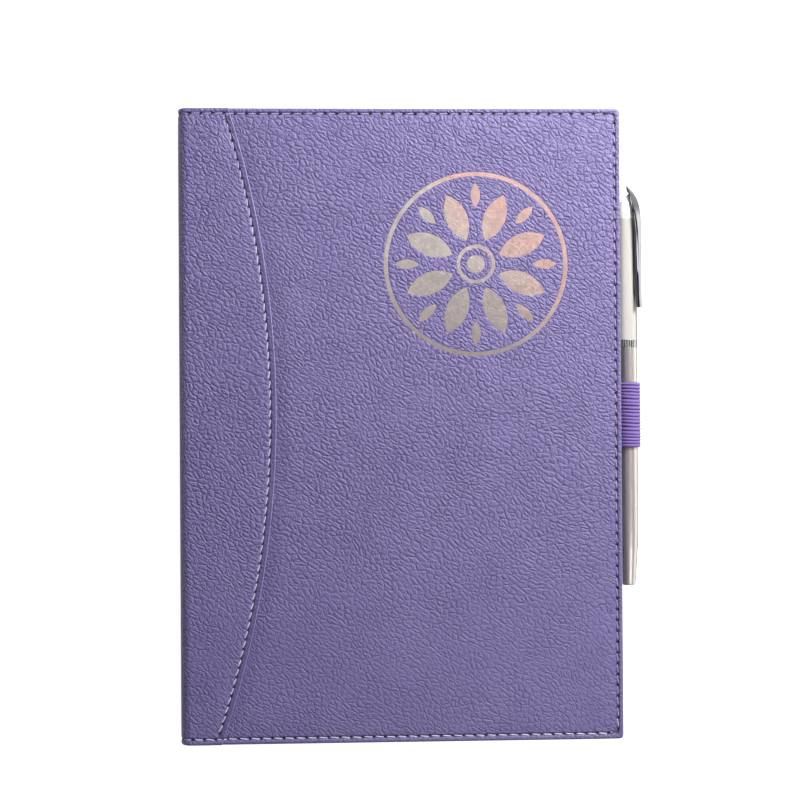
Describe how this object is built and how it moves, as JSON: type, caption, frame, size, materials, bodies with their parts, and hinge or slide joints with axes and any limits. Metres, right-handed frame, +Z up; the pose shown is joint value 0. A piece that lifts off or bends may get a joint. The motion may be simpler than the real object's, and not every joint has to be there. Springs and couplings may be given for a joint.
{
  "type": "address book",
  "caption": "Padded lavender imitation-leather address book with stitched edges, a curved lapped front seam, step-cut index pages and a slim twist pen held in an elastic loop.",
  "frame": {"origin": "middle of the underside of the closed book, on the plane the back cover rests on, with the pen counted in its width", "axes": "+Z up through the closed book from the back cover to the front cover; +Y towards the head; +X towards the fore-edge and the pen, with the spine at -X"},
  "size_m": [0.1598, 0.216, 0.017],
  "materials": {
    "case_skin": "satin",
    "padding": "matte",
    "board": "matte",
    "endpaper": "matte",
    "thread": "satin",
    "paper": "matte",
    "lining": "matte",
    "foil": "satin",
    "elastic": "matte",
    "pen_barrel": "satin",
    "pen_chrome": "polished",
    "pen_mechanism": "satin",
    "refill": "satin"
  },
  "bodies": {
    "back_cover": {"back_skin": "case_skin", "back_foam": "padding", "back_board": "board", "back_pastedown": "endpaper", "back_edge_thread": "thread", "pen_loop": "elastic", "back_flyleaf": "endpaper", "birthday_pages": "paper", "pages_mn": "paper", "pages_op": "paper", "pages_qr": "paper", "pages_st": "paper", "pages_uv": "paper", "pages_wz": "paper", "rear_block_lining": "lining"},
    "spine": {"spine_skin": "case_skin", "spine_board": "board", "spine_lining": "endpaper", "spine_edge_thread": "thread", "back_hinge_skin": "case_skin", "front_hinge_skin": "case_skin"},
    "front_cover": {"front_panel_skin": "case_skin", "front_wrap_skin": "case_skin", "front_foam": "padding", "front_board": "board", "front_pastedown": "endpaper", "front_edge_thread": "thread", "arc_seam_thread": "thread", "foil_ornament": "foil"},
    "front_pages": {"pages_ab": "paper", "pages_cd": "paper", "pages_ef": "paper", "pages_gh": "paper", "pages_ij": "paper", "pages_kl": "paper", "front_flyleaf": "endpaper", "front_block_lining": "lining"},
    "mn_leaf": {"mn_loose_leaf": "paper"},
    "kl_leaf": {"kl_loose_leaf": "paper"},
    "pen_upper": {"pen_upper_barrel": "pen_barrel", "pen_centre_ring": "pen_chrome", "pen_cap": "pen_chrome", "pen_twist_sleeve": "pen_mechanism"},
    "pen_lower": {"pen_lower_barrel": "pen_barrel"},
    "pen_refill": {"pen_refill_carrier": "pen_mechanism", "pen_refill_tube": "refill", "pen_refill_tip": "refill"},
    "pen_clip": {"pen_clip": "pen_chrome"}
  },
  "joints": [
    {"name": "back_spine_fold", "type": "hinge", "parent": "back_cover", "child": "spine", "pos_m": [-0.07913, 0, 0.00077], "axis": [0, -1, 0], "range_deg": [0, 90], "deforming": ["back_hinge_skin"]},
    {"name": "front_spine_fold", "type": "hinge", "parent": "spine", "child": "front_cover", "pos_m": [-0.07913, 0, 0.01623], "axis": [0, -1, 0], "range_deg": [0, 90.1], "deforming": ["front_hinge_skin"]},
    {"name": "front_pages_turn", "type": "hinge", "parent": "back_cover", "child": "front_pages", "pos_m": [-0.0769, 0, 0.0085], "axis": [0, -1, 0], "range_deg": [0, 180.1]},
    {"name": "kl_leaf_turn", "type": "hinge", "parent": "front_pages", "child": "kl_leaf", "pos_m": [-0.0769, 0, 0.0085], "axis": [0, 1, 0], "range_deg": [0, 10.1]},
    {"name": "mn_leaf_turn", "type": "hinge", "parent": "back_cover", "child": "mn_leaf", "pos_m": [-0.0769, 0, 0.0085], "axis": [0, -1, 0], "range_deg": [0, 12.1]},
    {"name": "pen_slide", "type": "slide", "parent": "back_cover", "child": "pen_upper", "axis": [0, 1, 0], "range_m": [0, 0.165]},
    {"name": "pen_twist", "type": "hinge", "parent": "pen_upper", "child": "pen_lower", "pos_m": [0.0748, 0, 0.0083], "axis": [0, 1, 0], "range_deg": [0, 180]},
    {"name": "refill_feed", "type": "slide", "parent": "pen_upper", "child": "pen_refill", "axis": [0, -1, 0], "range_m": [0, 0.0035]},
    {"name": "pen_clip_flex", "type": "hinge", "parent": "pen_upper", "child": "pen_clip", "pos_m": [0.0748, 0.0796, 0.0083], "axis": [-0.6691, 0, 0.7431], "range_deg": [0, 4], "stiffness_Nm_per_rad": 0.5}
  ],
  "couplings": [
    {"joint": "front_spine_fold", "follows": "back_spine_fold", "ratio": 1},
    {"joint": "front_pages_turn", "follows": "back_spine_fold", "ratio": 2},
    {"joint": "kl_leaf_turn", "follows": "back_spine_fold", "ratio": 0.1111},
    {"joint": "mn_leaf_turn", "follows": "back_spine_fold", "ratio": 0.1333},
    {"joint": "refill_feed", "follows": "pen_twist", "m_per_rad": 0.001114}
  ]
}
